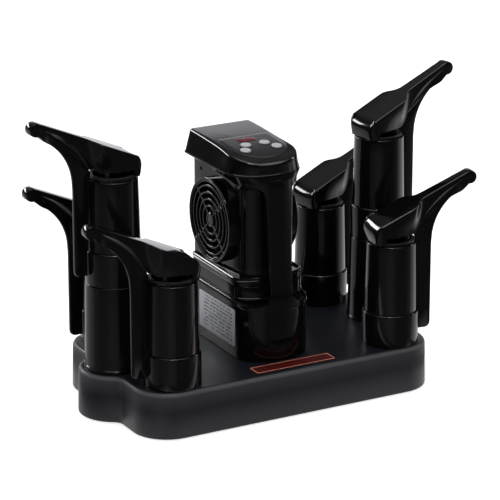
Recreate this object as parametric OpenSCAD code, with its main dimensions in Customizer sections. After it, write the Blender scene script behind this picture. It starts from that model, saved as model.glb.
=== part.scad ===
// Boot dryer: a plinth that carries six swivelling boot trees and a fan tower.
// Frame: X along the plinth, front at -Y, Z up, origin on the surface under the middle of the plinth.

/* [Base] */
// Half length of the plinth at its flat end faces
base_half_l = 161.5; // [158:0.5:165]
// Half width of the plinth
base_half_w = 101.5; // [100:0.5:104]
// Height of the plinth's top face above the surface
base_h = 48; // [44:1:56]
// Corner radius of the plinth
corner_r = 38; // [36:1:40]
// Radius of the round bulge at each end
lobe_r = 35; // [34:0.5:37]
// Radius of the hollow fillet beside each bulge
lobe_fillet = 12; // [8:1:14]
// Wall thickness of the plinth
base_wall = 3; // [2.5:0.5:3]
// Height of the rubber feet
foot_h = 2; // [1.5:0.5:3]

/* [Trees] */
// Distance of the four low trees from the middle, along the plinth
low_x = 124; // [122:0.5:125]
// Distance of the four low trees from the middle, across the plinth
low_y = 71; // [70:0.5:71]
// Distance of the two raised trees from the middle, along the plinth
tall_x = 151; // [149:0.5:152]
// Height of the cuff ring under a tree
cuff_h = 34; // [30:1:38]
// Outer radius of the cuff ring
cuff_r = 28.5; // [28.2:0.1:29]
// Height of a tree's rim above its seat
rim_h = 106.2; // [100:0.2:112]
// Outer radius of the tree's tube just above the cuff
tube_low_r = 27; // [26.5:0.1:27.5]
// Outer radius of the tree's tube at the rim
tube_top_r = 25; // [24.6:0.1:25.6]
// Height of an extension tube
ext_h = 88.6; // [80:0.2:120]
// Outer radius of an extension tube at its foot
ext_low_r = 30.5; // [30:0.1:31]
// Outer radius of an extension tube at its top
ext_top_r = 28.8; // [28.5:0.1:29.5]
// How far a spigot plugs into the part below
spigot_h = 14; // [12:1:16]

/* [Hanger] */
// Distance of the hook's tip from the tree's axis
hook_reach = 83.7; // [78:0.1:90]
// Height of the hook's tip above the rim
hook_rise = 59; // [54:0.5:62]
// Radius of the rounded tip
tip_r = 8; // [7:0.5:9]
// Half width of the head over the tube
head_half_w = 20.5; // [18:0.5:22]
// Half width of the hook's arm
arm_half_w = 7.4; // [6:0.2:8]
// Thickness of the fin
fin_t = 4; // [3:0.5:5]
// Distance of the fin's outer edge from the tree's axis
fin_r = 44.2; // [42:0.2:46]
// Depth of the fin below the rim
fin_drop = 97; // [90:1:98]

/* [Tower] */
// Half width of the lower column and of the band above it
column_half_w = 38.6; // [38:0.1:40]
// Height of the top of the lower column
column_top = 108.7; // [104:0.1:112]
// Height of the top of the wide band
band_top = 131.7; // [128:0.1:134]
// Half width of the fan module at its front corners
module_half_w = 29.5; // [28.5:0.5:30]
// Half width of the fan module at its back
module_back_w = 33.4; // [32:0.2:33.8]
// Height of the top of the fan module
module_top = 232.6; // [230:0.2:240]
// Position of the module's back face
module_back = 56; // [56:0.5:57.5]
// Wall thickness of the tower's shells
shell = 2.5; // [2:0.5:3]
// Half width of the front strap
strap_half_w = 12.4; // [10:0.2:14]
// Position of the front strap's front face near its foot
strap_front = -65; // [-66:0.5:-64]
// Thickness of the front strap
strap_t = 4.5; // [3.5:0.5:5]

/* [Fans] */
// Position of the fans' common axis, front to back
fan_y = 12; // [11.5:0.1:12.3]
// Height of the fans' common axis
fan_z = 177.3; // [176:0.1:180]
// Outer radius of the bezel ring
bezel_r = 43.4; // [43:0.1:43.6]
// Distance of the bezel ring's face from the tower's middle
bezel_face = 38.2; // [37.4:0.1:39]
// Number of blades of an impeller
blade_n = 7; // [5:1:9]

/* [Head] */
// Height of the head's flat top
head_top = 260; // [256:0.5:264]
// Half width of the head at its lower edge
head_half_low = 38.5; // [37:0.5:40]
// Half width of the head at its top edge
head_half_top = 33; // [32:0.5:35]
// Position of the head's back face
head_back = 58; // [56:0.5:60]
// Radius of a button
button_r = 5.3; // [4.5:0.1:5.6]

/* [Hidden] */
$fn = 64;
fine = 96;
low_floor = foot_h;
floor_t = 3;
socket_r = 24.3;
spigot_r = 24;
duct_r = 20.5;
swivel_r = 25;
swivel_gap = 0.05;
bore_r = 22.4;
seat_gap = 0.2;
tall_seat = base_h + ext_h;
screw_r = 1.5;
pin_r = 1.6;
boss_r = 4;
label_t = 0.4;
duct_half_w = 26;
duct_front = -34;
duct_back = 32;

// Tree list: [x, y, seat height, direction of the hook in degrees, is raised]
TREES = [
    [-low_x, -low_y, base_h, 177],
    [-tall_x, 0, tall_seat, 184],
    [-low_x, low_y, base_h, 182],
    [low_x, -low_y, base_h, -8],
    [tall_x, 0, tall_seat, 4],
    [low_x, low_y, base_h, 6]
];
FRONT_LEFT = 0;
MID_LEFT = 1;
BACK_LEFT = 2;
FRONT_RIGHT = 3;
MID_RIGHT = 4;
BACK_RIGHT = 5;

// ---------- shared outlines ----------

// Points of an arc from angle a0 to a1
function arc(cx, cy, rx, ry, a0, a1, n) =
    [for (i = [0:n]) let(a = a0 + (a1 - a0) * i / n) [cx + rx * cos(a), cy + ry * sin(a)]];

// Points of a quadratic curve from p to r, pulled towards q
function curve(p, q, r, n) =
    [for (i = [0:n]) let(t = i / n) (1 - t) * (1 - t) * p + 2 * t * (1 - t) * q + t * t * r];

// Outline of the plinth, drawn in by d all round: round corners, and a bulge with hollow fillets at each end
module base_outline(d = 0) {
    cx = base_half_l - corner_r;
    cy = base_half_w - corner_r;
    r = corner_r - d;
    f = lobe_fillet + d;
    fx = base_half_l + lobe_fillet;
    fy = sqrt(pow(lobe_r + lobe_fillet, 2) - pow(fx - tall_x, 2));
    turn = atan2(fy, fx - tall_x);
    polygon(concat(
        arc(tall_x, 0, lobe_r - d, lobe_r - d, -turn, turn, 24),
        arc(fx, fy, f, f, 180 + turn, 180, 6),
        arc(cx, cy, r, r, 0, 90, 12),
        arc(-cx, cy, r, r, 90, 180, 12),
        arc(-fx, fy, f, f, 360, 360 - turn, 6),
        arc(-tall_x, 0, lobe_r - d, lobe_r - d, 180 - turn, 180 + turn, 24),
        arc(-fx, -fy, f, f, turn, 0, 6),
        arc(-cx, -cy, r, r, 180, 270, 12),
        arc(cx, -cy, r, r, 270, 360, 12),
        arc(fx, -fy, f, f, 180, 180 - turn, 6)));
}

// Outline of a tower shell: a half-ellipse nose at the front, straight sides and rounded back corners
module column_outline(half_w, nose_y, nose_b, back_y, back_r, d = 0, back_w = 0) {
    w = back_w > 0 ? back_w : half_w;
    r = back_r - d;
    polygon(concat(
        arc(0, nose_y, half_w - d, nose_b - d, 180, 360, 24),
        arc(w - back_r, back_y - back_r, r, r, 0, 90, 6),
        arc(back_r - w, back_y - back_r, r, r, 90, 180, 6)));
}

// ---------- base ----------

module base_shell() {
    color([0.07, 0.07, 0.075])
    difference() {
        union() {
            difference() {
                translate([0, 0, low_floor])
                    linear_extrude(base_h - low_floor)
                        base_outline();
                translate([0, 0, low_floor - 1])
                    linear_extrude(base_h - low_floor + 1 - base_wall)
                        base_outline(base_wall);
            }
            for (t = TREES)
                translate([t[0], t[1], base_h - spigot_h - 2])
                    cylinder(r = socket_r + 2.5, h = spigot_h + 1, $fn = fine);
            for (p = floor_screw_points())
                translate([p[0], p[1], low_floor + floor_t])
                    cylinder(r = boss_r, h = base_h - low_floor - floor_t - 1);
        }
        for (t = TREES)
            translate([t[0], t[1], 0])
                cylinder(r = socket_r, h = base_h + 1, $fn = fine);
        for (p = floor_screw_points())
            translate([p[0], p[1], 0])
                cylinder(r = pin_r, h = 20);
        for (p = column_screw_points())
            translate([p[0], p[1], 0])
                cylinder(r = pin_r + 0.2, h = base_h + 1);
        translate([-duct_half_w, duct_front, base_h - 10])
            cube([2 * duct_half_w, duct_back - duct_front, 20]);
    }
}

function floor_screw_points() = [
    for (sx = [-1, 1], sy = [-1, 1]) [sx * 84, sy * 88],
    for (sx = [-1, 1], sy = [-1, 1]) [sx * 140, sy * 38]
];
function column_screw_points() = [for (sx = [-1, 1], y = [-44, 38]) [sx * 33.5, y]];

module base_floor() {
    color([0.06, 0.06, 0.065])
    difference() {
        translate([0, 0, low_floor])
            linear_extrude(floor_t)
                base_outline(base_wall + 0.3);
        for (p = floor_screw_points())
            translate([p[0], p[1], 0]) {
                cylinder(r = pin_r, h = 20);
                cylinder(r = 3.4, h = low_floor + 1.8);
            }
    }
}

module base_feet() {
    color([0.04, 0.04, 0.04])
    for (p = foot_points())
        translate([p[0], p[1], 0])
            cylinder(r = 9, h = foot_h);
}
function foot_points() = [
    for (sx = [-1, 1], sy = [-1, 1]) [sx * 118, sy * 66],
    for (sx = [-1, 1]) [sx * 160, 0]
];

module base_screws() {
    color([0.6, 0.6, 0.62])
    for (p = floor_screw_points())
        translate([p[0], p[1], low_floor + 0.3]) {
            cylinder(r = 3.2, h = 1.5);
            cylinder(r = screw_r, h = 14);
        }
}

module front_badge() {
    color([0.55, 0.08, 0.05])
    translate([4, -83, base_h])
        linear_extrude(label_t)
            square([90, 18], center = true);
}

// ---------- trees ----------

// Cuff ring: a spigot below, a socket above in which the tube swivels
module cuff(t) {
    color([0.03, 0.03, 0.035])
    translate([t[0], t[1], t[2] + seat_gap])
        difference() {
            union() {
                cylinder(r = cuff_r, h = cuff_h, $fn = fine);
                translate([0, 0, -spigot_h])
                    cylinder(r = spigot_r, h = spigot_h + 1, $fn = fine);
            }
            translate([0, 0, 6])
                cylinder(r = swivel_r + swivel_gap, h = cuff_h, $fn = fine);
            translate([0, 0, -spigot_h - 1])
                cylinder(r = duct_r, h = cuff_h, $fn = fine);
        }
}

// Tapered tube with the straight journal that turns in the cuff
module tube(t) {
    color([0.03, 0.03, 0.035])
    translate([t[0], t[1], t[2]])
        difference() {
            union() {
                translate([0, 0, 6 + 2 * seat_gap])
                    cylinder(r = swivel_r, h = cuff_h, $fn = fine);
                translate([0, 0, cuff_h + 2 * seat_gap])
                    cylinder(r1 = tube_low_r, r2 = tube_top_r, h = rim_h - cuff_h - 2 * seat_gap, $fn = fine);
            }
            cylinder(r = bore_r, h = rim_h + 1, $fn = fine);
        }
}

// Side view of the hook's body: r outward, z above the rim
module hook_side() {
    polygon(concat(
        curve([20.5, 3], [48, 35.5], [hook_reach, hook_rise - tip_r - 0.5], 16),
        arc(hook_reach, hook_rise, tip_r, tip_r, -90, 95, 10),
        [[-17, 21.7]],
        curve([-17, 21.7], [-25.5, 17], [-27.4, 8], 4),
        [[-26.9, 1.5], [-23, 1.5], [-21, 3]]));
}

// Top view of the hook: a wide head over the tube, shoulders, a narrow arm and a round knob
module hook_top() {
    polygon(concat(
        [[18, -head_half_w], [29, -arm_half_w - 0.6], [hook_reach, -arm_half_w],
            [hook_reach, arm_half_w], [29, arm_half_w + 0.6], [18, head_half_w]],
        arc(-15, 0, 12.4, head_half_w, 90, 270, 16)));
    translate([hook_reach, 0])
        circle(r = tip_r);
}

// Side view of the fin under the hook
module fin_side() {
    polygon(concat(
        [[20.6, -fin_drop + 4], [22, 3.2]],
        curve([24, 6.6], [48, 36.5], [hook_reach - 2, hook_rise - tip_r + 1], 12),
        arc(100, -3, 56.4, 56.7, 107.5, 177, 14),
        [[fin_r, -fin_drop + 8]],
        arc(fin_r - 6, -fin_drop + 6, 6, 6, 0, -90, 5),
        [[20.6, -fin_drop]]));
}

module hanger(t) {
    color([0.03, 0.03, 0.035])
    translate([t[0], t[1], t[2]])
        difference() {
            translate([0, 0, rim_h])
                rotate([0, 0, t[3]]) {
                    intersection() {
                        rotate([90, 0, 0])
                            linear_extrude(2 * head_half_w + 2, center = true)
                                hook_side();
                        linear_extrude(hook_rise + tip_r + 1)
                            hook_top();
                    }
                    rotate([90, 0, 0])
                        linear_extrude(fin_t, center = true)
                            fin_side();
                    hanger_clips();
                }
            tube_clearance();
        }
}

// Four legs that spring into the tube's mouth
module hanger_clips() {
    translate([0, 0, -9])
        difference() {
            cylinder(r = bore_r - 0.1, h = 13, $fn = fine);
            translate([0, 0, -1])
                cylinder(r = bore_r - 2.4, h = 20, $fn = fine);
            for (a = [0, 90])
                rotate([0, 0, a])
                    translate([-40, -11, -1])
                        cube([80, 22, 11.9]);
        }
}

// Room that the fin leaves round the tube and the cuff
module tube_clearance() {
    difference() {
        cylinder(r1 = tube_low_r + 0.1 + (tube_low_r - tube_top_r) / (rim_h - cuff_h) * cuff_h,
            r2 = tube_top_r + 0.1, h = rim_h, $fn = fine);
        cylinder(r = bore_r - 0.05, h = rim_h + 1, $fn = fine);
    }
    cylinder(r = cuff_r + 0.7, h = cuff_h + 1, $fn = fine);
}

module extension(x) {
    color([0.03, 0.03, 0.035])
    translate([x, 0, base_h + seat_gap])
        difference() {
            union() {
                cylinder(r1 = ext_low_r, r2 = ext_top_r, h = ext_h - seat_gap, $fn = fine);
                cylinder(r = ext_low_r + 0.6, h = 3, $fn = fine);
                translate([0, 0, -spigot_h])
                    cylinder(r = spigot_r, h = spigot_h + 1, $fn = fine);
            }
            translate([0, 0, -spigot_h - 1])
                cylinder(r = duct_r, h = ext_h + spigot_h + 2, $fn = fine);
            translate([0, 0, 4])
                cylinder(r = socket_r, h = ext_h + 1, $fn = fine);
        }
}

// ---------- tower: lower column ----------

column_nose_y = -45;
column_nose_b = 25.5;
column_back = 55;
band_nose_y = -36;
band_nose_b = 16;
band_back = 55;
band_back_w = 37;
lip_t = 2.2;
ledge_z = band_top - 2.3;
module_nose_y = -33.5;
module_nose_b = 15;
back_r = 4;
strap_lean = 3;
neck_h = 8;
inlet_z = 74;
inlet_half_w = 13.6;
inlet_half_h = 10;

module pedestal_outline(d = 0) {
    column_outline(column_half_w, column_nose_y, column_nose_b, column_back, back_r, d);
}

module pedestal() {
    color([0.03, 0.03, 0.035])
    difference() {
        union() {
            difference() {
                translate([0, 0, base_h])
                    linear_extrude(column_top - base_h)
                        pedestal_outline();
                translate([0, 0, base_h - 1])
                    linear_extrude(column_top - base_h + 1 - shell)
                        pedestal_outline(shell);
                translate([-duct_half_w, duct_front, base_h])
                    cube([2 * duct_half_w, duct_back - duct_front, 100]);
            }
            for (p = column_screw_points())
                translate([p[0], p[1], base_h])
                    cylinder(r = boss_r, h = 22);
            for (s = [-1, 1])
                translate([s * (column_half_w - 5.6), 0, heater_z - 10])
                    cube([8, 44, 4], center = true);
        }
        for (p = column_screw_points())
            translate([p[0], p[1], base_h - 1])
                cylinder(r = pin_r, h = 18);
        translate([-inlet_half_w, column_back - 10, inlet_z - inlet_half_h])
            cube([2 * inlet_half_w, 20, 2 * inlet_half_h]);
    }
}

module pedestal_screws() {
    color([0.6, 0.6, 0.62])
    for (p = column_screw_points())
        translate([p[0], p[1], base_h - base_wall - 2]) {
            cylinder(r = 3.2, h = 2);
            cylinder(r = screw_r, h = 16);
        }
}

module rating_label() {
    color([0.8, 0.8, 0.82])
    translate([-column_half_w - label_t, -41, 59.5])
        cube([label_t, 75, 38.5]);
}

// Appliance inlet with two pins, in the back of the lower column
module power_inlet() {
    wall_y = column_back - shell;
    color([0.05, 0.05, 0.05])
    difference() {
        union() {
            translate([-inlet_half_w - 2, wall_y - 16, inlet_z - inlet_half_h - 2])
                cube([2 * inlet_half_w + 4, 16, 2 * inlet_half_h + 4]);
            translate([-inlet_half_w + 0.2, wall_y - 1, inlet_z - inlet_half_h + 0.2])
                cube([2 * inlet_half_w - 0.4, shell + 0.5, 2 * inlet_half_h - 0.4]);
        }
        translate([-inlet_half_w + 2, wall_y - 13, inlet_z - inlet_half_h + 2])
            cube([2 * inlet_half_w - 4, 30, 2 * inlet_half_h - 4]);
    }
    color([0.8, 0.8, 0.8])
    for (s = [-1, 1])
        translate([s * 4.3, wall_y - 14, inlet_z])
            rotate([-90, 0, 0])
                cylinder(r = 1.2, h = 11);
}

// ---------- tower: heater ----------

heater_z = 88;

module heater_frame() {
    color([0.75, 0.72, 0.66])
    translate([0, -1, heater_z])
        difference() {
            cube([66, 60, 16], center = true);
            cube([52, 54, 20], center = true);
        }
}

module heater_block() {
    color([0.7, 0.7, 0.72])
    translate([0, -1, heater_z]) {
        for (i = [-4:4])
            translate([i * 5.4, 0, 0])
                cube([1.2, 54, 11], center = true);
        for (y = [-18, 0, 18])
            translate([0, y, 0])
                cube([52, 4, 3], center = true);
    }
}

module thermal_cutout() {
    color([0.85, 0.82, 0.7])
    translate([0, 18, heater_z + 8]) {
        translate([-5, 0, 0])
            cube([10, 11, 1]);
        cylinder(r = 7, h = 6);
    }
}

module power_board() {
    color([0.1, 0.35, 0.15])
    translate([0, -39, base_h]) {
        translate([-29, 0, 0])
            cube([58, 1.6, 30]);
        translate([-20, 1, 6])
            cube([16, 9, 14]);
        translate([6, 1, 6])
            cube([12, 10, 12]);
    }
}

// ---------- tower: band, fan module, strap ----------

module band_outline(d = 0) {
    column_outline(column_half_w, band_nose_y, band_nose_b, band_back, back_r, d, band_back_w);
}

module module_outline(d = 0) {
    column_outline(module_half_w, module_nose_y, module_nose_b, module_back, 3, d, module_back_w);
}

// Band with a raised lip round the ledge on which the fan module stands
module module_base() {
    color([0.03, 0.03, 0.035])
    difference() {
        translate([0, 0, column_top])
            linear_extrude(band_top - column_top)
                band_outline();
        translate([0, 0, ledge_z])
            linear_extrude(10)
                union() {
                    band_outline(lip_t);
                    module_outline(-0.05);
                }
        translate([-duct_half_w, duct_front, column_top - 1])
            cube([2 * duct_half_w, duct_back - duct_front, 40]);
    }
}

module module_housing() {
    color([0.03, 0.03, 0.035])
    difference() {
        translate([0, 0, ledge_z])
            linear_extrude(module_top - ledge_z)
                module_outline();
        translate([0, 0, ledge_z - 1])
            linear_extrude(module_top - ledge_z + 2)
                module_outline(shell);
        translate([0, fan_y, fan_z])
            rotate([0, 90, 0])
                cylinder(r = 39, h = 100, center = true, $fn = fine);
    }
}

// Narrow strap in front of the module, joined to the tower only at its foot and at the neck under the head
module front_strap() {
    foot_back = band_nose_y - band_nose_b - 0.2;
    height = module_top - column_top;
    color([0.03, 0.03, 0.035]) {
        translate([0, 0, column_top])
            rotate([90, 0, 90])
                linear_extrude(2 * strap_half_w, center = true)
                    polygon([[strap_front - 3, 0], [foot_back, 0], [foot_back, 4], [strap_front + strap_t, 12],
                        [strap_front + strap_t + strap_lean, height - neck_h],
                        [strap_front + strap_t + strap_lean, height], [strap_front + strap_lean, height],
                        [strap_front, 14]]);
        translate([0, 0, module_top - neck_h])
            linear_extrude(neck_h)
                polygon(concat(
                    arc(0, module_nose_y, module_half_w + 2, module_nose_y - strap_front - strap_lean, 180, 360, 24),
                    arc(0, module_nose_y, module_half_w + 0.2, module_nose_b + 0.2, 360, 180, 24)));
    }
}

// ---------- fans ----------

// Places a part that is drawn along +Z from the module's middle on the fan's axis of one side
module on_fan(side) {
    translate([0, fan_y, fan_z])
        rotate([0, side * 90, 0])
            children();
}

module ring(r_out, r_in, z0, z1) {
    translate([0, 0, z0])
        difference() {
            cylinder(r = r_out, h = z1 - z0, $fn = fine);
            translate([0, 0, -1])
                cylinder(r = r_in, h = z1 - z0 + 2, $fn = fine);
        }
}

module fan_bezel(side) {
    color([0.03, 0.03, 0.035])
    difference() {
        on_fan(side)
            ring(bezel_r, bezel_r - 2.6, module_half_w - 3, bezel_face);
        translate([0, 0, ledge_z])
            linear_extrude(module_top - ledge_z)
                module_outline(-0.05);
    }
}

guard_rings = [14.4, 21.3, 28.2, 35.1];
guard_z0 = bezel_face - 3.2;
guard_z1 = bezel_face - 1.2;

module fan_guard(side) {
    color([0.03, 0.03, 0.035])
    on_fan(side) {
        ring(bezel_r - 2.7, bezel_r - 4.4, guard_z0 - 1, guard_z1);
        for (r = guard_rings)
            ring(r + 0.9, r - 0.9, guard_z0, guard_z1);
        translate([0, 0, guard_z0])
            cylinder(r = 7.4, h = 2);
        for (a = [45, 135])
            rotate([0, 0, a])
                translate([0, 0, guard_z0 + 0.5])
                    difference() {
                        cube([2 * bezel_r - 7, 2, 1], center = true);
                        cube([8, 4, 4], center = true);
                    }
    }
}

fan_in = 9;
fan_out = module_half_w - shell - 0.2;

module fan_frame(side) {
    color([0.05, 0.05, 0.05])
    on_fan(side) {
        ring(39.4, 37.6, fan_in, fan_out);
        difference() {
            union() {
                translate([0, 0, fan_in])
                    cylinder(r = 13, h = 2.5);
                for (a = [30, 150, 270])
                    rotate([0, 0, a])
                        translate([10, -2, fan_in])
                            cube([28.5, 4, 2.5]);
            }
            translate([0, 0, fan_in - 1])
                cylinder(r = 3.4, h = 8);
        }
    }
}

module fan_motor(side) {
    color([0.45, 0.3, 0.15])
    on_fan(side)
        ring(11, 1.56, fan_in + 2.5, fan_in + 12);
}

module impeller(side) {
    color([0.06, 0.06, 0.065])
    on_fan(side) {
        translate([0, 0, fan_in + 4])
            difference() {
                cylinder(r = 16.5, h = 17, $fn = fine);
                translate([0, 0, -1])
                    cylinder(r = 14.2, h = 16, $fn = fine);
            }
        translate([0, 0, fan_in + 3.5])
            cylinder(r = 1.5, h = 17);
        for (i = [0:blade_n - 1])
            rotate([0, 0, i * 360 / blade_n])
                translate([26, 0, fan_in + 12.5])
                    rotate([side * 38, 0, 0])
                        cube([20.5, 17, 1.6], center = true);
    }
}

// ---------- head ----------

head_low = module_top + 3.4;
head_nose_y = -20.5;
head_flat_end = -8;

module head_plan(d) {
    column_outline(head_half_low, head_nose_y, 36.8, head_back, 7, d);
}

// Side view of the cap: flat top that rolls down towards the front
module head_side(d) {
    polygon(concat(
        [[-70, head_low - 1], [70, head_low - 1], [70, head_top - d]],
        curve([head_flat_end, head_top - d], [-38, head_top - 1.5 - d], [-60, head_top - 17 - d], 12),
        [[-70, head_top - 24 - d]]));
}

// Front view of the cap: side walls that lean inward
module head_front(d) {
    polygon([[-head_half_low + d, head_low - 1], [head_half_low - d, head_low - 1],
        [head_half_low - d, head_low], [head_half_top - d, head_top + 1], [-head_half_top + d, head_top + 1],
        [-head_half_low + d, head_low]]);
}

module head_solid(z0, d) {
    intersection() {
        translate([0, 0, z0])
            linear_extrude(60)
                head_plan(d);
        rotate([90, 0, 90])
            linear_extrude(200, center = true)
                head_side(d);
        rotate([90, 0, 0])
            linear_extrude(200, center = true)
                head_front(d);
    }
}

module head_tray() {
    color([0.03, 0.03, 0.035])
    difference() {
        translate([0, 0, module_top])
            linear_extrude(head_low - module_top)
                head_plan(2.5);
        translate([-22, -26, module_top - 1])
            cube([44, 66, 10]);
    }
    color([0.03, 0.03, 0.035])
    for (sx = [-1, 1])
        for (y = [-30, 24])
            translate([sx * 24.5, y, head_low - 1])
                cylinder(r = 2.4, h = board_z - head_low + 1);
}

module head_cover() {
    color([0.03, 0.03, 0.035])
    difference() {
        head_solid(head_low, 0);
        head_solid(head_low - 1, shell);
        for (b = BUTTONS)
            on_button(b)
                cylinder(r = button_r + 0.3, h = 30, center = true);
        translate([0, window_y, head_top])
            cube([window_w + 0.4, window_l + 0.4, 20], center = true);
    }
}

// Buttons: [x, y, height of the cap's surface, forward tilt in degrees]
BUTTONS = [
    [-10.5, -12.5, 259.6, 2],
    [10.5, -12.5, 259.6, 2],
    [-17.5, -25, 258.2, 9],
    [17.5, -25, 258.2, 9]
];
window_y = 1.5;
window_w = 18;
window_l = 8.6;
overlay_t = 0.6;

module on_button(b) {
    translate([b[0], b[1], b[2]])
        rotate([b[3], 0, 0])
            children();
}

module control_overlay() {
    color([0.05, 0.05, 0.055])
    difference() {
        intersection() {
            translate([0, 0, 200])
                linear_extrude(100)
                    column_outline(29.5, -18, 27, 14, 4);
            rotate([90, 0, 90])
                linear_extrude(200, center = true)
                    difference() {
                        head_side(-overlay_t);
                        head_side(0);
                    }
        }
        for (b = BUTTONS)
            on_button(b)
                cylinder(r = button_r + 0.3, h = 30, center = true);
        translate([0, window_y, head_top])
            cube([window_w + 0.4, window_l + 0.4, 20], center = true);
    }
}

module display_window() {
    color([0.3, 0.02, 0.03])
    translate([0, window_y, head_top - 1.1])
        cube([window_w, window_l, 3], center = true);
}

module display_module() {
    color([0.1, 0.1, 0.1])
    translate([0, window_y, head_top - 6])
        cube([24, 14, 6], center = true);
}

board_z = head_top - 14.5;

module control_board() {
    color([0.1, 0.35, 0.15])
    translate([0, 0, board_z]) {
        translate([-27, -33, 0])
            cube([54, 60, 1.6]);
        for (b = BUTTONS)
            translate([b[0], b[1], 1.5])
                translate([-3, -3, 0])
                    cube([6, 6, 3.5]);
        translate([-9, window_y - 5, 1.5])
            cube([18, 10, 2.4]);
    }
}

// A button: a round cap with a flange under the cover and a stem that presses a switch on the board
module button(b) {
    color([0.75, 0.76, 0.78])
    on_button(b) {
        translate([0, 0, -3.6])
            cylinder(r = button_r, h = 5.2);
        translate([0, 0, -4.8])
            cylinder(r = button_r + 1, h = 1.3);
        translate([0, 0, -6.2])
            cylinder(r = 2, h = 3);
    }
}

base_shell();
base_floor();
base_feet();
base_screws();
front_badge();
cuff(TREES[FRONT_LEFT]);  // cuff_front_left
cuff(TREES[MID_LEFT]);  // cuff_mid_left
cuff(TREES[BACK_LEFT]);  // cuff_back_left
cuff(TREES[FRONT_RIGHT]);  // cuff_front_right
cuff(TREES[MID_RIGHT]);  // cuff_mid_right
cuff(TREES[BACK_RIGHT]);  // cuff_back_right
tube(TREES[FRONT_LEFT]);  // tube_front_left
tube(TREES[MID_LEFT]);  // tube_mid_left
tube(TREES[BACK_LEFT]);  // tube_back_left
tube(TREES[FRONT_RIGHT]);  // tube_front_right
tube(TREES[MID_RIGHT]);  // tube_mid_right
tube(TREES[BACK_RIGHT]);  // tube_back_right
hanger(TREES[FRONT_LEFT]);  // hanger_front_left
hanger(TREES[MID_LEFT]);  // hanger_mid_left
hanger(TREES[BACK_LEFT]);  // hanger_back_left
hanger(TREES[FRONT_RIGHT]);  // hanger_front_right
hanger(TREES[MID_RIGHT]);  // hanger_mid_right
hanger(TREES[BACK_RIGHT]);  // hanger_back_right
extension(-tall_x);  // extension_left
extension(tall_x);  // extension_right
pedestal();
pedestal_screws();
rating_label();
power_inlet();
heater_frame();
heater_block();
thermal_cutout();
power_board();
module_base();
module_housing();
front_strap();
fan_bezel(-1);  // fan_bezel_left
fan_bezel(1);  // fan_bezel_right
fan_guard(-1);  // fan_guard_left
fan_guard(1);  // fan_guard_right
fan_frame(-1);  // fan_frame_left
fan_frame(1);  // fan_frame_right
fan_motor(-1);  // fan_motor_left
fan_motor(1);  // fan_motor_right
impeller(-1);  // impeller_left
impeller(1);  // impeller_right
head_tray();
head_cover();
control_overlay();
display_window();
display_module();
control_board();
button(BUTTONS[0]);  // button_power
button(BUTTONS[1]);  // button_timer
button(BUTTONS[2]);  // button_heat
button(BUTTONS[3]);  // button_mode
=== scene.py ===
import bpy
import bmesh
from math import acos, atan2, copysign, cos, degrees, pi, radians, remainder, sin, sqrt, tan
from mathutils import Matrix, Vector

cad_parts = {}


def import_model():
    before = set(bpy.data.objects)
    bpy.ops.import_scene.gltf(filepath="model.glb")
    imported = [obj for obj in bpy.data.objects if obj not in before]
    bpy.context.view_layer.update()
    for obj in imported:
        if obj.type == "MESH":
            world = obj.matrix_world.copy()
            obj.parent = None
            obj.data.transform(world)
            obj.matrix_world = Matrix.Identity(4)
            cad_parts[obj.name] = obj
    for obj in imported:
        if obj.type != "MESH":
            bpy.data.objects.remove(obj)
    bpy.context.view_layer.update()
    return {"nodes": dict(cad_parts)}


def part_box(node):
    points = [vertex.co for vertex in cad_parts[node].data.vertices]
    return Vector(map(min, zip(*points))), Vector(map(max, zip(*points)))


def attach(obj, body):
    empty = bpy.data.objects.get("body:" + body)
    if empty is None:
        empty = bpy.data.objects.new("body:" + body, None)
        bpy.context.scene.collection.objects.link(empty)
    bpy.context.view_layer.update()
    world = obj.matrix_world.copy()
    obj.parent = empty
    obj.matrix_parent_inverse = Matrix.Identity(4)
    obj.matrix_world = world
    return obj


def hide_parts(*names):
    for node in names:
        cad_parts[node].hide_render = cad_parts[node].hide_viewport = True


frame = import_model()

MM = 0.001
TREES = ("front_left", "mid_left", "back_left", "front_right", "mid_right", "back_right")
UP = Vector((0, 0, 1))


# ---------- small geometry kit (all lengths in mm until a mesh is made) ----------

def box_mm(node):
    lo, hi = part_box(node)
    return lo / MM, hi / MM


def centre_mm(node):
    lo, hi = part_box(node)
    return (lo + hi) / 2 / MM


def at(x, y, z):
    return Matrix.Translation((x, y, z))


def spin(axis, deg):
    return Matrix.Rotation(radians(deg), 4, axis)


ON_EDGE = spin("X", 90)      # an outline's y becomes z, its depth runs towards -Y


def lerp(a, b, t):
    return a + (b - a) * t


def clamp01(x):
    return max(0.0, min(1.0, x))


def table_at(rows, x):
    """Smooth value at x from rows of (x, value), with no overshoot between them."""
    x = max(rows[0][0], min(rows[-1][0], x))
    steep = [(v1 - v0) / (x1 - x0) for (x0, v0), (x1, v1) in zip(rows, rows[1:])]

    def slope(k):
        a, b = steep[max(k - 1, 0)], steep[min(k, len(steep) - 1)]
        return 0.0 if a * b <= 0 else 2 * a * b / (a + b)
    i = max(k for k in range(len(steep)) if rows[k][0] <= x)
    (x0, v0), (x1, v1) = rows[i], rows[i + 1]
    h = x1 - x0
    t = (x - x0) / h
    return ((2 * t ** 3 - 3 * t ** 2 + 1) * v0 + (t ** 3 - 2 * t ** 2 + t) * h * slope(i)
            + (3 * t ** 2 - 2 * t ** 3) * v1 + (t ** 3 - t ** 2) * h * slope(i + 1))


def arc(cx, cy, rx, ry, a0, a1, n):
    """Points from angle a0 to a1, in degrees, on an ellipse."""
    out = []
    for i in range(n + 1):
        a = radians(lerp(a0, a1, i / n))
        out.append((cx + rx * cos(a), cy + ry * sin(a)))
    return out


def rounder(value, power):
    """Signed power: below 1 it squares a circle's cosine or sine off."""
    return copysign(abs(value) ** power, value)


def rectangle(lo, hi, radius, n=4):
    """Rounded rectangle between two (x, y) corners."""
    return fillet([(lo[0], lo[1]), (hi[0], lo[1]), (hi[0], hi[1]), (lo[0], hi[1])], radius, n)


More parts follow.
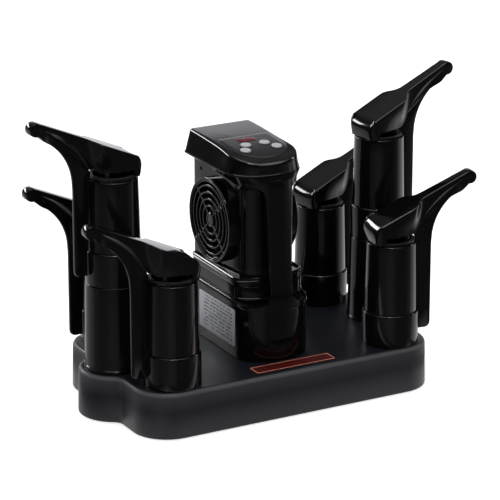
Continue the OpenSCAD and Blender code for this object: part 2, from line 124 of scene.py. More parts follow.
def fillet(points, radii, n=5):
    """Closed 2D polygon with each corner rounded by its radius."""
    out = []
    count = len(points)
    for i, p in enumerate(points):
        r = radii[i] if isinstance(radii, (list, tuple)) else radii
        a = Vector(points[i - 1]) - Vector(p)
        b = Vector(points[(i + 1) % count]) - Vector(p)
        if r <= 0 or a.length < 1e-6 or b.length < 1e-6:
            out.append(tuple(p))
            continue
        la, lb = a.length, b.length
        a.normalize()
        b.normalize()
        half = acos(max(-1, min(1, a.dot(b)))) / 2
        if abs(half - pi / 2) < 0.02:
            out.append(tuple(p))
            continue
        reach = min(r / tan(half), la * 0.48, lb * 0.48)
        r = reach * tan(half)
        c = Vector(p) + (a + b).normalized() * (r / sin(half))
        s, e = Vector(p) + a * reach - c, Vector(p) + b * reach - c
        t0 = atan2(s.y, s.x)
        sweep = remainder(atan2(e.y, e.x) - t0, 2 * pi)
        for k in range(n + 1):
            t = t0 + sweep * k / n
            out.append((c.x + r * cos(t), c.y + r * sin(t)))
    return out


def inset(points, d):
    """Outline drawn in by d along its corner normals."""
    n = len(points)
    area = 0
    for p, q in zip(points, points[1:] + points[:1]):
        area += p[0] * q[1] - q[0] * p[1]
    s = 1 if area > 0 else -1
    out = []
    for i in range(n):
        p, a, b = Vector(points[i]), Vector(points[i - 1]), Vector(points[(i + 1) % n])
        e0, e1 = p - a, b - p
        n0 = Vector((-e0.y, e0.x)).normalized() if e0.length > 1e-9 else Vector((0, 0))
        n1 = Vector((-e1.y, e1.x)).normalized() if e1.length > 1e-9 else n0
        m = n0 + n1
        if m.length < 1e-6:
            m = n1
        m.normalize()
        k = d / max(0.5, m.dot(n1))
        out.append((p.x + m.x * k * s, p.y + m.y * k * s))
    return out


def ring3(points, z):
    return [(x, y, z) for x, y in points]


class Part:
    """Collects closed shells in mm and turns them into one Blender object. Each call gives the Part back."""

    def __init__(self):
        self.v, self.f = [], []

    def add(self, verts, faces, m=None):
        k = len(self.v)
        for p in verts:
            q = Vector(p)
            self.v.append(m @ q if m is not None else q)
        self.f += [[k + i for i in f] for f in faces]
        return self

    def loft(self, rings, m=None, caps=True):
        n = len(rings[0])
        verts = [p for r in rings for p in r]
        faces = []
        for j in range(len(rings) - 1):
            for i in range(n):
                a, b = j * n + i, j * n + (i + 1) % n
                faces.append([a, b, b + n, a + n])
        if caps:
            faces.append(list(range(n))[::-1])
            faces.append([(len(rings) - 1) * n + i for i in range(n)])
        return self.add(verts, faces, m)

    def lathe(self, profile, seg=96, m=None, solid=False):
        """Turns an (r, z) profile round Z: a closed loop or, if solid, a line from axis to axis."""
        line = profile[1:-1] if solid else profile
        n = len(line)
        turns = [2 * pi * s / seg for s in range(seg)]
        verts = [(r * cos(a), r * sin(a), z) for a in turns for r, z in line]
        bottom, top = len(verts), len(verts) + 1
        faces = []
        for s in range(seg):
            t = (s + 1) % seg
            for i in range(n - 1 if solid else n):
                j = (i + 1) % n
                faces.append([s * n + i, t * n + i, t * n + j, s * n + j])
            if solid:
                faces.append([bottom, t * n, s * n])
                faces.append([top, s * n + n - 1, t * n + n - 1])
        if solid:
            verts += [(0, 0, profile[0][1]), (0, 0, profile[-1][1])]
        return self.add(verts, faces, m)

    def prism(self, outline, z0, z1, m=None, edge=0.0):
        """Prism of a 2D outline with a small rounded edge at both ends."""
        if edge <= 0:
            return self.loft([ring3(outline, z0), ring3(outline, z1)], m)
        eased = edge * 0.293      # 45 degrees along the rounded edge
        inner, mid = inset(outline, edge), inset(outline, eased)
        return self.loft([ring3(inner, z0), ring3(mid, z0 + eased), ring3(outline, z0 + edge),
                          ring3(outline, z1 - edge), ring3(mid, z1 - eased), ring3(inner, z1)], m)

    def box(self, lo, hi, m=None, edge=0.4):
        return self.prism(rectangle(lo, hi, edge * 1.5, 3), lo[2], hi[2], m, edge)

    def mesh(self, name):
        """One mesh in metres with its normals outward."""
        me = bpy.data.meshes.new(name)
        me.from_pydata([v * MM for v in self.v], [], self.f)
        bm = bmesh.new()
        bm.from_mesh(me)
        bmesh.ops.remove_doubles(bm, verts=bm.verts, dist=1e-7)
        bmesh.ops.recalc_face_normals(bm, faces=bm.faces)
        bm.to_mesh(me)
        bm.free()
        return me

    def make(self, name, *rides, **looks):
        return finish_piece(name, self.mesh(name), *rides, **looks)


def new_object(name, data):
    o = bpy.data.objects.new(name, data)
    bpy.context.scene.collection.objects.link(o)
    return o


def bake(o):
    """Applies the object's modifiers to its mesh."""
    bpy.context.view_layer.update()
    me = bpy.data.meshes.new_from_object(o.evaluated_get(bpy.context.evaluated_depsgraph_get()))
    o.modifiers.clear()
    o.data = me


def shade(o, angle):
    """Smooth shading, sharp where faces meet at more than the angle, in degrees."""
    o.data.shade_smooth()
    o.data.set_sharp_from_angle(angle=radians(angle))


def finish_piece(name, me, material, body, *nodes, slot=None, angle=32, bevel=0.0):
    """Makes a piece that rides on a body and stands in for CAD nodes."""
    o = new_object(name, me)
    if bevel > 0:
        b = o.modifiers.new("edges", "BEVEL")
        b.width, b.segments = bevel * MM, 2
        b.limit_method, b.angle_limit = "ANGLE", radians(38)
        bake(o)
    shade(o, angle)
    o.data.materials.clear()
    o.data.materials.append(material)
    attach(o, body)
    if nodes:
        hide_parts(*nodes)
    return o


def cut(o, cutter_part):
    """Subtracts a Part from an object."""
    cutter = new_object("cutter", cutter_part.mesh("cutter"))
    b = o.modifiers.new("cut", "BOOLEAN")
    b.operation, b.solver, b.object = "DIFFERENCE", "EXACT", cutter
    bake(o)
    bpy.data.objects.remove(cutter)


def along_x(x, y, z, side):
    """Matrix that turns +Z into side * X at a point."""
    return at(x, y, z) @ spin("Y", 90 * side)


# ---------- node kit ----------

def new_material(name):
    m = bpy.data.materials.new(name)
    m.use_nodes = True
    return m, m.node_tree, m.node_tree.nodes["Principled BSDF"]


def set_inputs(nt, node, inputs):
    """Sets each input to a value, or links it to another node's output."""
    for key, value in inputs.items():
        if isinstance(value, bpy.types.NodeSocket):
            nt.links.new(value, node.inputs[key])
        else:
            node.inputs[key].default_value = value


def add_node(nt, kind, inputs=None, **settings):
    node = nt.nodes.new("ShaderNode" + kind)
    for key, value in settings.items():
        setattr(node, key, value)
    set_inputs(nt, node, inputs or {})
    return node


def maths(nt, operation, *values):
    return add_node(nt, "Math", dict(enumerate(values)), operation=operation).outputs[0]


def vector_maths(nt, operation, *values):
    return add_node(nt, "VectorMath", dict(enumerate(values)), operation=operation).outputs[0]


def axes(nt, vector):
    return add_node(nt, "SeparateXYZ", {0: vector}).outputs


def mapped(nt, value, source, target, smooth=False):
    """A value moved from one range to another and held within it."""
    ends = dict(zip(("From Min", "From Max", "To Min", "To Max"), (*source, *target)))
    kind = "SMOOTHSTEP" if smooth else "LINEAR"
    return add_node(nt, "MapRange", {"Value": value, **ends}, interpolation_type=kind).outputs["Result"]


def own_place(nt):
    return add_node(nt, "TexCoord").outputs["Object"]


def noise(nt, scale, detail=2.0, where=None):
    inputs = {"Vector": where or own_place(nt), "Scale": scale, "Detail": detail}
    return add_node(nt, "TexNoise", inputs).outputs["Fac"]


def ramp(nt, value, stops, interpolation="LINEAR"):
    """Colour ramp through (position, colour) stops."""
    node = add_node(nt, "ValToRGB", {"Fac": value})
    node.color_ramp.interpolation = interpolation
    elements = node.color_ramp.elements
    while len(elements) < len(stops):
        elements.new(0.5)
    for element, (position, colour) in zip(elements, stops):
        element.position = position
        element.color = (*colour, 1)
    return node.outputs["Color"]


def mixed(nt, factor, a, b):
    return add_node(nt, "Mix", {"Factor": factor, "A": a, "B": b}, data_type="RGBA").outputs["Result"]


def relief(nt, bsdf, height, strength, depth):
    bump = add_node(nt, "Bump", {"Strength": strength, "Distance": depth, "Height": height})
    set_inputs(nt, bsdf, {"Normal": bump.outputs["Normal"]})


def uneven_gloss(nt, bsdf, pattern, low, high, wear_highlight_mask, duller):
    """Roughness that follows a pattern from low to high, and more of it where the surface is rubbed."""
    gloss = mapped(nt, pattern, (0.35, 0.7), (low, high))
    set_inputs(nt, bsdf, {"Roughness": maths(nt, "MULTIPLY_ADD", wear_highlight_mask, duller, gloss)})


# ---------- materials ----------

def edge_wear_and_sheen(nt):
    """0 on flat faces, up to 1 on sharp outer edges: where it lifts a colour, that is a painted edge
    highlight as well as wear.
    """
    shape = add_node(nt, "NewGeometry")
    return mapped(nt, shape.outputs["Pointiness"], (0.515, 0.60), (0.0, 1.0), smooth=True)


def painted_rim_highlight(nt):
    """1 on a surface halfway between wall and top, 0 on both: the rounded rim of a big flat-topped part,
    where a paler highlight is painted.
    """
    rise = axes(nt, add_node(nt, "NewGeometry").outputs["Normal"])[2]
    both = maths(nt, "MULTIPLY", rise, maths(nt, "SUBTRACT", 1.0, rise))
    return mapped(nt, both, (0.0, 0.25), (0.0, 1.0))


def plastic(name, dark, light, rough, rough_var=0.05, grain=0.0, grain_scale=900.0, specular=0.5, rim=False):
    """Moulded plastic: faint colour drift, uneven gloss, fine texture, edges duller from wear and painted
    paler as wear and highlight; with rim, a paler highlight is painted along the rounded rim instead.
    """
    m, nt, bsdf = new_material(name)
    drift = ramp(nt, noise(nt, 14, 4), [(0.3, dark), (0.75, light)])
    # paler edge colour: wear and a painted highlight; with rim, a painted highlight along the rounded rim
    wear_highlight_mask = painted_rim_highlight(nt) if rim else edge_wear_and_sheen(nt)
    wear_and_highlight_colour = [min(0.9, 1.2 * c + (0.07 if rim else 0.0025)) for c in light]
    set_inputs(nt, bsdf, {"Base Color": mixed(nt, wear_highlight_mask, drift, (*wear_and_highlight_colour, 1)), "Specular IOR Level": specular})
    uneven_gloss(nt, bsdf, noise(nt, 38, 6), rough, rough + rough_var, wear_highlight_mask, 0.06)
    relief(nt, bsdf, noise(nt, grain_scale), max(grain, 0.009), 0.0002 if grain > 0 else 0.00005)
    return m


def metal(name, colour, rough=0.3):
    """Lightly brushed metal with brighter edges."""
    m, nt, bsdf = new_material(name)
    brush = noise(nt, 300)
    # edges painted brighter: wear and a painted highlight
    bright = [min(0.95, c * 1.3) for c in colour]
    set_inputs(nt, bsdf, {
        "Base Color": mixed(nt, edge_wear_and_sheen(nt), (*colour, 1), (*bright, 1)),
        "Roughness": mapped(nt, brush, (0.0, 1.0), (rough * 0.7, rough * 1.4)),
        "Metallic": 1.0})
    relief(nt, bsdf, brush, 0.15, 0.0001)
    return m


def window_glass():
    """Dark red, faintly mottled display window."""
    m, nt, bsdf = new_material("window_red")
    mottle = noise(nt, 260)
    red = ramp(nt, mottle, [(0.0, (0.060, 0.001, 0.002)), (1.0, (0.190, 0.004, 0.007))])
    set_inputs(nt, bsdf, {"Base Color": red, "Specular IOR Level": 0.2})
    uneven_gloss(nt, bsdf, mottle, 0.12, 0.2, edge_wear_and_sheen(nt), 0.1)
    relief(nt, bsdf, mottle, 0.05, 0.0001)
    return m


def label_material():
    """Silver label with generic rows of grey dashes that spell nothing."""
    rows_per_m, row_gap = 260.0, 0.62      # share of each row that stays blank
    dashes_per_m, row_shift, dash_gap = 330.0, 3.7, 0.47
    middle, half = (-0.006, 0.0787), (0.0305, 0.0172)      # printed area in Y and Z
    m, nt, bsdf = new_material("label_silver")
    place = axes(nt, own_place(nt))

    def within(value, centre, reach):
        return maths(nt, "LESS_THAN", maths(nt, "ABSOLUTE", maths(nt, "SUBTRACT", value, centre)), reach)
    rows = maths(nt, "MULTIPLY", place["Z"], rows_per_m)
    stripe = maths(nt, "GREATER_THAN", maths(nt, "FRACT", rows), row_gap)
    along = maths(nt, "MULTIPLY", place["Y"], dashes_per_m)
    shift = maths(nt, "MULTIPLY", maths(nt, "FLOOR", rows), row_shift)
    words = noise(nt, 1.0, 1.0, add_node(nt, "CombineXYZ", {0: along, 1: shift}).outputs[0])
    dash = maths(nt, "GREATER_THAN", words, dash_gap)
    inside = maths(nt, "MULTIPLY", within(place["Y"], middle[0], half[0]),
                   within(place["Z"], middle[1], half[1]))
    ink = maths(nt, "MULTIPLY", maths(nt, "MULTIPLY", stripe, dash), inside)
    colour = mixed(nt, ink, (0.58, 0.59, 0.63, 1), (0.09, 0.09, 0.10, 1))
    set_inputs(nt, bsdf, {"Base Color": colour, "Metallic": 0.25})
    foil = noise(nt, 120)
    uneven_gloss(nt, bsdf, foil, 0.32, 0.46, edge_wear_and_sheen(nt), 0.1)
    relief(nt, bsdf, foil, 0.05, 0.0001)
    return m


GLOSS = plastic("gloss_black_plastic", (0.0020, 0.0020, 0.0024), (0.0036, 0.0036, 0.0042), 0.09, 0.04)
# rim=True paints a paler highlight band along the plinth's rounded rim
SATIN = plastic("satin_base_plastic", (0.0066, 0.0072, 0.0104), (0.0086, 0.0093, 0.0132), 0.33, 0.07,
                grain=0.3, grain_scale=1500, specular=0.30, rim=True)
INNER = plastic("inner_black_plastic", (0.006, 0.006, 0.007), (0.010, 0.010, 0.011), 0.45, 0.1)
RUBBER = plastic("foot_rubber", (0.012, 0.012, 0.012), (0.02, 0.02, 0.02), 0.75, 0.1, grain=0.3)
OVERLAY = plastic("overlay_film", (0.008, 0.008, 0.010), (0.012, 0.012, 0.015), 0.22, 0.05)
BUTTON = plastic("button_plastic", (0.46, 0.46, 0.49), (0.54, 0.54, 0.57), 0.32, 0.06)
STEEL = metal("screw_steel", (0.55, 0.55, 0.57), 0.3)
COPPER = metal("motor_copper", (0.55, 0.28, 0.14), 0.4)
HEATER = metal("heater_metal", (0.6, 0.6, 0.6), 0.35)
BOARD = plastic("circuit_board", (0.01, 0.06, 0.02), (0.015, 0.09, 0.03), 0.4)
CERAMIC = plastic("insulator", (0.5, 0.47, 0.4), (0.6, 0.56, 0.48), 0.6)
WINDOW = window_glass()
LABEL = label_material()
BADGE = plastic("badge_red", (0.045, 0.002, 0.002), (0.080, 0.005, 0.004), 0.42, specular=0.2)
BADGE_EDGE = plastic("badge_edge", (0.50, 0.14, 0.08), (0.60, 0.24, 0.16), 0.4)


# ---------- camera, floor and lights ----------

TURN, RISE = radians(-28.722), radians(19.097)
BACK = Vector((sin(TURN) * cos(RISE), -cos(TURN) * cos(RISE), sin(RISE)))
AHEAD = Vector((-sin(TURN), cos(TURN), 0))      # away from the viewer, level
SIDE = Vector((cos(TURN), sin(TURN), 0))      # to the viewer's right, level
LIT = Vector((0, 0, 0.15))      # the point that the lights face


def aim(o, place, direction):
    o.location = place
    o.rotation_mode = "QUATERNION"
    o.rotation_quaternion = direction.to_track_quat("-Z", "Y")


def camera():
    data = bpy.data.cameras.new("camera")
    data.sensor_width, data.lens = 36, 199.93
    data.shift_x, data.shift_y = 0.002, 0.0432
    data.clip_start, data.clip_end = 0.05, 200
    cam = new_object("camera", data)
    aim(cam, Vector((0, 0, 0.120)) + BACK * 2.8, -BACK)
    bpy.context.scene.camera = cam


def floor():
    """Pale paper that glows a little more far away, so it runs into the white behind."""
    m, nt, bsdf = new_material("floor_paper")
    away = add_node(nt, "VectorMath", {0: own_place(nt)}, operation="LENGTH").outputs["Value"]
    set_inputs(nt, bsdf, {
        "Base Color": ramp(nt, noise(nt, 6), [(0.0, (0.90, 0.90, 0.905)), (1.0, (0.92, 0.92, 0.92))]),
        "Roughness": 0.9,
        "Specular IOR Level": 0.1,
        "Emission Color": (1, 1, 1, 1),
        "Emission Strength": mapped(nt, away, (0.6, 2.5), (0.60, 1.0))})
    half = 40
    me = bpy.data.meshes.new("floor")
    me.from_pydata(ring3(rectangle((-half, -half), (half, half), 0), 0), [], [[0, 1, 2, 3]])
    me.materials.append(m)
    o = new_object("floor", me)
    o.visible_glossy = False


def sheet():
    """Bright sheet close round the foot that fades outward, seen only in reflections."""
    half_x, half_y, width, lift = 0.16, 0.10, 0.09, 0.0004
    rows, seg, square = 6, 48, 0.35
    circle = arc(0, 0, 1, 1, 0, 360, seg)[:-1]
    verts, faces = [], []
    for k in range(rows + 1):
        d = width * k / rows
        for x, y in circle:
            verts.append(((half_x + d) * rounder(x, square), (half_y + d) * rounder(y, square), lift))
    for k in range(rows):
        for i in range(seg):
            j = (i + 1) % seg
            faces.append([k * seg + i, k * seg + j, (k + 1) * seg + j, (k + 1) * seg + i])
    me = bpy.data.meshes.new("sheet")
    me.from_pydata(verts, [], faces)
    m = bpy.data.materials.new("sheet_glow")
    m.use_nodes = True
    nt = m.node_tree
    nt.nodes.clear()
    size = vector_maths(nt, "ABSOLUTE", own_place(nt))
    beyond = axes(nt, vector_maths(nt, "SUBTRACT", size, (half_x, half_y, 0)))
    far = maths(nt, "MAXIMUM", beyond[0], beyond[1])
    fade = mapped(nt, far, (0.0, width - 0.002), (1.0, 0.0), smooth=True)
    glow = add_node(nt, "Emission", {"Strength": fade})
    add_node(nt, "OutputMaterial", {"Surface": glow.outputs[0]})
    me.materials.append(m)
    o = new_object("sheet", me)
    o.visible_camera = o.visible_diffuse = o.visible_transmission = o.visible_shadow = False


def world():
    """Plain white to the camera. Objects see a bright table all round and a bright backdrop behind."""
    w = bpy.data.worlds.new("studio")
    bpy.context.scene.world = w
    w.use_nodes = True
    nt = w.node_tree
    nt.nodes.clear()
    view = add_node(nt, "TexCoord").outputs["Generated"]

    def along(direction):
        dot = add_node(nt, "VectorMath", {0: view, 1: direction}, operation="DOT_PRODUCT")
        return dot.outputs["Value"]
    ahead, side, up = along(AHEAD), along(SIDE), along(UP)
    # 0 towards the viewer, + to the viewer's right
    turn = maths(nt, "ARCTAN2", side, maths(nt, "MULTIPLY", ahead, -1.0))
    turn01 = maths(nt, "ADD", maths(nt, "DIVIDE", turn, 2 * pi), 0.5)
    # brightness of the surroundings by the turn in degrees
    stops = [(-180, 0.95), (-150, 0.80), (-118, 0.50), (-92, 0.36), (-76, 0.15), (-50, 0.09), (-25, 0.11),
             (-8, 0.17), (8, 0.15), (24, 0.05), (62, 0.04), (88, 0.12), (106, 0.58), (128, 0.92), (180, 0.95)]
    surround = ramp(nt, turn01, [(deg / 360 + 0.5, (v, v, v * 1.04)) for deg, v in stops], "EASE")

    def span(value, lo, hi, v0, v1):
        return mapped(nt, value, (lo, hi), (v0, v1), smooth=True)

    # the table is bright all round; above it only the backdrop straight behind is, up to about 22 degrees
    table = span(up, -0.14, -0.03, 1.0, 0.10)
    backdrop = maths(nt, "MULTIPLY", span(up, 0.345, 0.41, 1.0, 0.04), span(ahead, 0.84, 0.92, 0.0, 1.0))
    sky = maths(nt, "MULTIPLY", span(up, 0.50, 0.66, 0.0, 0.12), span(ahead, -0.3, 0.5, 0.25, 1.0))
    share = maths(nt, "MAXIMUM", table, backdrop)
    scaled = add_node(nt, "VectorMath", {0: surround, "Scale": share}, operation="SCALE").outputs["Vector"]
    objects_see = add_node(nt, "Background", {"Color": vector_maths(nt, "ADD", scaled, sky)})
    camera_sees = add_node(nt, "Background", {"Color": (1, 1, 1, 1)})
    by_camera = add_node(nt, "LightPath").outputs["Is Camera Ray"]
    mix = add_node(nt, "MixShader", {0: by_camera, 1: objects_see.outputs[0], 2: camera_sees.outputs[0]})
    add_node(nt, "OutputWorld", {"Surface": mix.outputs[0]})


def toward(turn_deg, rise_deg, reach):
    """Offset `reach` metres away, turned from the viewer, + to the viewer's right, and risen from level."""
    t, e = radians(turn_deg), radians(rise_deg)
    level = SIDE * sin(t) - AHEAD * cos(t)
    return (level * cos(e) + UP * sin(e)) * reach


def softbox(name, offset, width, height, power):
    data = bpy.data.lights.new(name, "AREA")
    data.shape, data.size, data.size_y, data.energy = "RECTANGLE", width, height, power
    aim(new_object(name, data), LIT + offset, -offset)


camera()
floor()
sheet()
world()
softbox("over", UP * 2.4 - AHEAD * 0.2, 2.6, 2.6, 38)
softbox("glint_left", toward(-127, 20, 2.2), 1.3, 0.34, 19)
softbox("glint_front", toward(4, 58, 2.2), 0.6, 0.18, 9)
softbox("glint_right", toward(112, 24, 2.4), 0.3, 0.3, 5)
bpy.context.scene.view_settings.view_transform = "Standard"
bpy.context.scene.view_settings.look = "None"


# ---------- base ----------

def base_shell():
    hi = box_mm("base_shell")[1]
    top = hi.z
    tall_x = centre_mm("extension_right").x      # middle of the lobe at each end
    lobe_r = hi.x - tall_x + 2.8
    half_l, half_w = 164.3, hi.y + 0.9
    corner, hollow = 37.5, 12.0      # radii of the corners and of the hollows beside the lobes
    wall, socket_depth = 3.0, 16.0
    mouth_r, bore_r, sleeve_r = 24.9, 24.3, 26.8

    def outline(d):
        """The base's outline drawn in by d."""
        cx, cy, r, f = half_l - corner, half_w - corner, corner - d, hollow + d
        fx = half_l + hollow
        fy = sqrt((lobe_r + hollow) ** 2 - (fx - tall_x) ** 2)
        t = degrees(atan2(fy, fx - tall_x))
        k = lobe_r - d
        return (arc(tall_x, 0, k, k, -t, t, 28) + arc(fx, fy, f, f, 180 + t, 180, 10)[1:]
                + arc(cx, cy, r, r, 0, 90, 18) + arc(-cx, cy, r, r, 90, 180, 18)
                + arc(-fx, fy, f, f, 360, 360 - t, 10)[:-1] + arc(-tall_x, 0, k, k, 180 - t, 180 + t, 28)
                + arc(-fx, -fy, f, f, t, 0, 10)[1:] + arc(-cx, -cy, r, r, 180, 270, 18)
                + arc(cx, -cy, r, r, 270, 360, 18) + arc(fx, -fy, f, f, 180, 180 - t, 10)[:-1])

    foot = 0.8
    # (drawn in by, height)
    levels = [(3.0, foot), (1.0, foot), (0.3, foot + 0.3), (0.0, foot + 1.2), (0.9, top - 4.6),
              (1.2, top - 2.75), (2.15, top - 1.2), (3.6, top - 0.3), (5.4, top)]
    bm = bmesh.new()

    def ring(points, z):
        return [bm.verts.new((x * MM, y * MM, z * MM)) for x, y in points]

    def circle(c, r, z):
        turns = [2 * pi * i / 64 for i in range(64)]
        return ring([(c.x + r * cos(a), c.y + r * sin(a)) for a in turns], z)

    def bridge(a, b):
        n = len(a)
        for i in range(n):
            bm.faces.new((a[i], a[(i + 1) % n], b[(i + 1) % n], b[i]))

    def edges_of(loop):
        return [bm.edges.get(pair) or bm.edges.new(pair) for pair in zip(loop, loop[1:] + loop[:1])]

    def fill(edges, normal):
        bmesh.ops.triangle_fill(bm, use_beauty=True, use_dissolve=False, edges=edges, normal=normal)

    rings = [ring(outline(d), z) for d, z in levels]
    for a, b in zip(rings, rings[1:]):
        bridge(a, b)
    inner_low, inner_top = rings[0], ring(outline(3.2), top - wall)
    bridge(inner_top, inner_low)
    top_edges, under_edges = edges_of(rings[-1]), edges_of(inner_top)
    for t in TREES:
        c = centre_mm(("extension_" + t[4:]) if t.startswith("mid") else "cuff_" + t)
        loops = [circle(c, mouth_r, top), circle(c, bore_r, top - 0.6), circle(c, bore_r, top - socket_depth),
                 circle(c, sleeve_r, top - socket_depth), circle(c, sleeve_r, top - wall)]
        for a, b in zip(loops, loops[1:]):
            bridge(a, b)
        top_edges += edges_of(loops[0])
        under_edges += edges_of(loops[-1])
    duct = [(-26, -34), (26, -34), (26, 32), (-26, 32)]
    a, b = ring(duct, top), ring(duct, top - wall)
    bridge(a, b)
    top_edges += edges_of(a)
    under_edges += edges_of(b)
    fill(top_edges, (0, 0, 1))
    fill(under_edges, (0, 0, -1))
    bmesh.ops.recalc_face_normals(bm, faces=bm.faces)
    me = bpy.data.meshes.new("plinth")
    bm.to_mesh(me)
    bm.free()
    finish_piece("plinth", me, SATIN, "base", "base_shell", angle=28)


def feet():
    p = Part()
    hi = box_mm("base_feet")[1]
    r = 9.0
    profile = [(0, 0.5), (4.5, 0.5), (5.2, 0.0), (7.9, 0.0), (8.7, 0.3), (r, 1.0), (r, hi.z), (0, hi.z)]
    corners = [(sx * 118, sy * (hi.y - r)) for sx in (-1, 1) for sy in (-1, 1)]
    for x, y in corners + [(sx * (hi.x - r), 0) for sx in (-1, 1)]:
        p.lathe(profile, 40, at(x, y, 0), solid=True)
    p.make("feet", RUBBER, "base", "base_feet")


def badge():
    lo, hi = box_mm("front_badge")

    def rect(d):
        return rectangle((lo.x + d, lo.y + d), (hi.x - d, hi.y - d), 1.2)
    Part().prism(rect(0), lo.z, hi.z, edge=0.12).make("badge_plate", BADGE, "base", "front_badge")
    outer, inner = rect(0.9), rect(1.9)
    low, high = hi.z - 0.1, hi.z + 0.05
    border = ((outer, low), (outer, high), (inner, high), (inner, low), (outer, low))
    rings = [ring3(points, z) for points, z in border]
    Part().loft(rings, caps=False).make("badge_border", BADGE_EDGE, "base")


base_shell()
feet()
badge()


# ---------- trees ----------

SPIGOT_BORE, SPIGOT_R, SPIGOT_H = 20.5, 24.0, 14


def turned(name, node, body, profile, seg=96):
    """A gloss piece turned round the upright axis of its CAD node."""
    c = centre_mm(node)
    Part().lathe(profile, seg, at(c.x, c.y, 0)).make(name, GLOSS, body, node)


def cuff(t):
    node = "cuff_" + t
    lo, hi = box_mm(node)
    seat, r = lo.z + SPIGOT_H, (hi.x - lo.x) / 2
    profile = fillet([(SPIGOT_BORE, lo.z), (SPIGOT_R, lo.z), (SPIGOT_R, seat), (r, seat), (r, hi.z),
                      (25.3, hi.z), (25.05, seat + 6), (SPIGOT_BORE, seat + 6)],
                     [0.5, 1.0, 0.3, 0.9, 1.3, 0.5, 0.2, 0.4], 4)
    turned("collar_" + t, node, node, profile)


def tube(t):
    node = "tube_" + t
    lo, hi = box_mm(node)
    bore, plug_r, rim = 22.4, 25.0, hi.z
    step = lo.z + 28
    wall = fillet([(plug_r, lo.z), (plug_r, step), (27.0, step), (25.1, rim), (23.2, rim), (23.0, rim - 1.1),
                   (bore, rim - 1.1)], [0.6, 0.2, 0.8, 1.1, 0.5, 0.3, 0.3], 4)
    turned("tube_body_" + t, node, "tree_" + t, [(bore, lo.z)] + wall)


def extension(side):
    node = "extension_" + side
    lo, hi = box_mm(node)
    seat, flange_r = lo.z + SPIGOT_H, 31.1
    profile = fillet([(SPIGOT_BORE, lo.z), (SPIGOT_R, lo.z), (SPIGOT_R, seat), (flange_r, seat),
                      (flange_r, seat + 3), (30.45, seat + 3.6), (28.8, hi.z), (24.6, hi.z), (24.3, seat + 4),
                      (SPIGOT_BORE, seat + 4)], [0.5, 1.0, 0.3, 0.8, 0.6, 0.4, 1.3, 0.6, 0.2, 0.4], 4)
    turned("riser_" + side, node, node, profile, 112)


# Shape of one hook as (r, value) rows, r out from the tube's axis: heights over the rim of the crease, of the
# arm's low line and of the head's underside, and half widths at the top, at the crease and at the low line.
CREASE = [(20.0, 8.2), (24.9, 12.2), (30.1, 21.8), (38.5, 33.2), (48.9, 43.0), (59.3, 50.4), (69.7, 55.6),
          (76.0, 58.3), (81.5, 60.5)]
LOWLINE = [(19.0, 8.7), (24.5, 9.6), (29.3, 13.4), (38.6, 22.5), (50.2, 31.3), (61.9, 38.8), (68.0, 42.0),
           (72.0, 44.3), (75.0, 46.4), (78.0, 49.2), (81.5, 52.4)]
TOP_HALF = [(15.0, 20.0), (18.0, 19.6), (20.5, 17.8), (24.0, 13.6), (27.0, 10.4), (29.5, 8.8), (33.0, 7.8),
            (44.0, 7.3), (62.0, 6.7), (86.0, 6.3)]
LOW_HALF = [(-10.0, 20.0), (-6.0, 19.5), (0.0, 18.1), (7.0, 15.9), (14.0, 13.2), (21.0, 11.0), (28.0, 9.4),
            (36.0, 8.3), (48.0, 7.6), (60.0, 7.0), (86.0, 6.3)]
FOOT_HALF = [(60.0, 2.0), (68.0, 3.2), (72.0, 4.8), (75.0, 5.9), (78.0, 6.2), (90.0, 6.3)]
UNDER = [(-13.2, 9.0), (0.0, 8.8), (9.0, 8.3), (16.0, 7.9), (20.0, 8.2)]
EDGE = [(-16.0, 1.8), (20.0, 1.5), (32.0, 1.6), (70.0, 1.8), (86.0, 2.6)]    # radius of the top edge
NOSE_R, NOSE_CORNER, NOSE_EDGE, HEAD_HALF = -24.6, 5.5, 9.5, 20.0
KNOB_R, KNOB_X, KNOB_Z = 6.9, 83.2, 58.9

# Degrees that each tree is turned from pointing right, and how far its hook's frame is above the rim
HOOK_PLACE = {"front_left": (176.5, 0.7), "mid_left": (182, 0.7), "back_left": (180.5, 0.7),
              "front_right": (-8, -0.2), "mid_right": (6, -0.8), "back_right": (6, -0.2)}


def top_z(r):
    return 30.2 + 0.4345 * r


def plan_rows():
    """Half of the head's plan from the nose's middle to the tip: (r, y, outward normal in r, in y)."""
    rows = [(NOSE_R, 0.0, 1.0, 0.0), (NOSE_R + 0.05, 4.0, 1.0, 0.0), (NOSE_R + 0.2, 8.0, 1.0, 0.02),
            (NOSE_R + 0.45, 11.5, 1.0, 0.05), (NOSE_R + 0.7, 14.2, 0.99, 0.1)]
    c = NOSE_R + 0.8 + NOSE_CORNER
    for i in range(1, 10):
        nx, ny = cos(radians(10 * i)), sin(radians(10 * i))
        rows.append((c - NOSE_CORNER * nx, HEAD_HALF - NOSE_CORNER + NOSE_CORNER * ny, nx, ny))
    for r in (-18.0, -16.0, -14.2, -13.4, -12.8, -12.2, -10, -6, -2, 2, 5, 8, 10, 12, 14, 16, 18, 19.5, 21,
              22.5, 24, 25.5, 27, 28.5, 30, 32, 35, 38.5, 43, 48, 53, 58, 63, 68, 71, 72.5, 73.5, 74.5, 75.5,
              76.5, 78, 79.5, 81.0):
        rows.append((r, table_at(TOP_HALF, r), 0.0, 1.0))
    return rows


